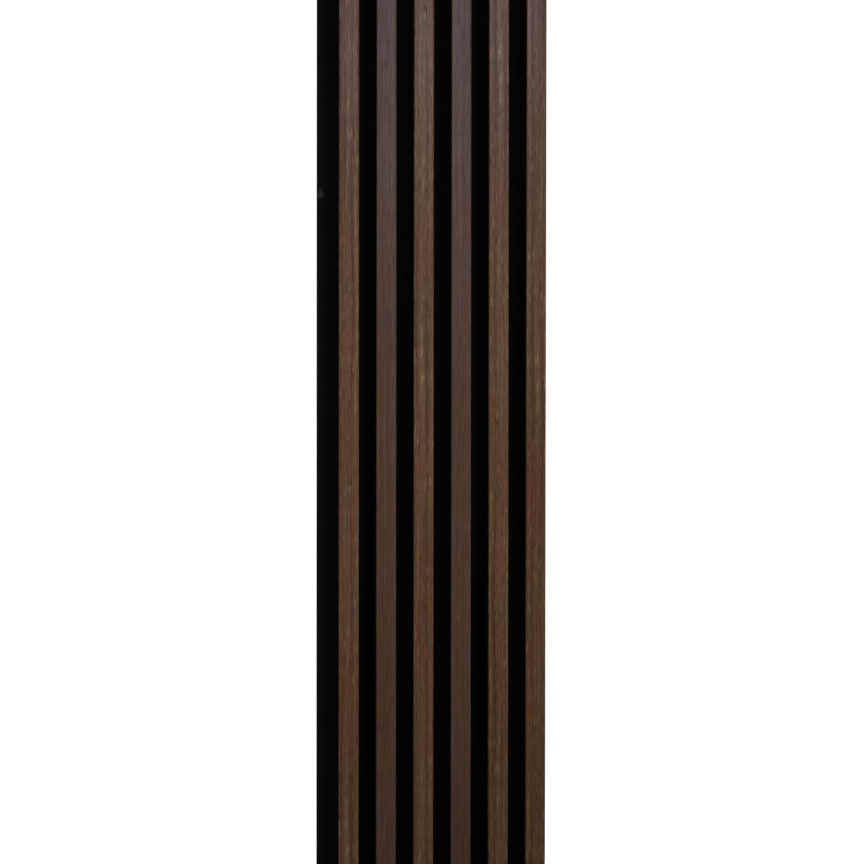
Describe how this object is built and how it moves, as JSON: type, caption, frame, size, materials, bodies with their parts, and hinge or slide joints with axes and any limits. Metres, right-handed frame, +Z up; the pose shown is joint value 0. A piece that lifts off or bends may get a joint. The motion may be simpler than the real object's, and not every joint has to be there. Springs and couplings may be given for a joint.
{
  "type": "slatted wall panel",
  "caption": "Upright wall panel of dark wood-look slats on a black backing board that is set over to one side, so panels lap together and the slats run on along the wall.",
  "frame": {"origin": "middle of the backing board's back face, on the wall", "axes": "+X along the wall away from the tongue, +Y into the wall, +Z up along the slats"},
  "size_m": [0.307, 0.028, 1.2],
  "materials": {
    "black_board": "matt black fibreboard",
    "warm_brown_wood": "satin dark brown wood with fine straight grain",
    "grey_brown_wood": "satin grey brown wood with faint grain"
  },
  "bodies": {
    "root": {"backing_board": "black_board", "slat_1": "warm_brown_wood", "slat_2": "grey_brown_wood", "slat_3": "warm_brown_wood", "slat_4": "grey_brown_wood", "slat_5": "warm_brown_wood", "slat_6": "warm_brown_wood"}
  },
  "joints": []
}
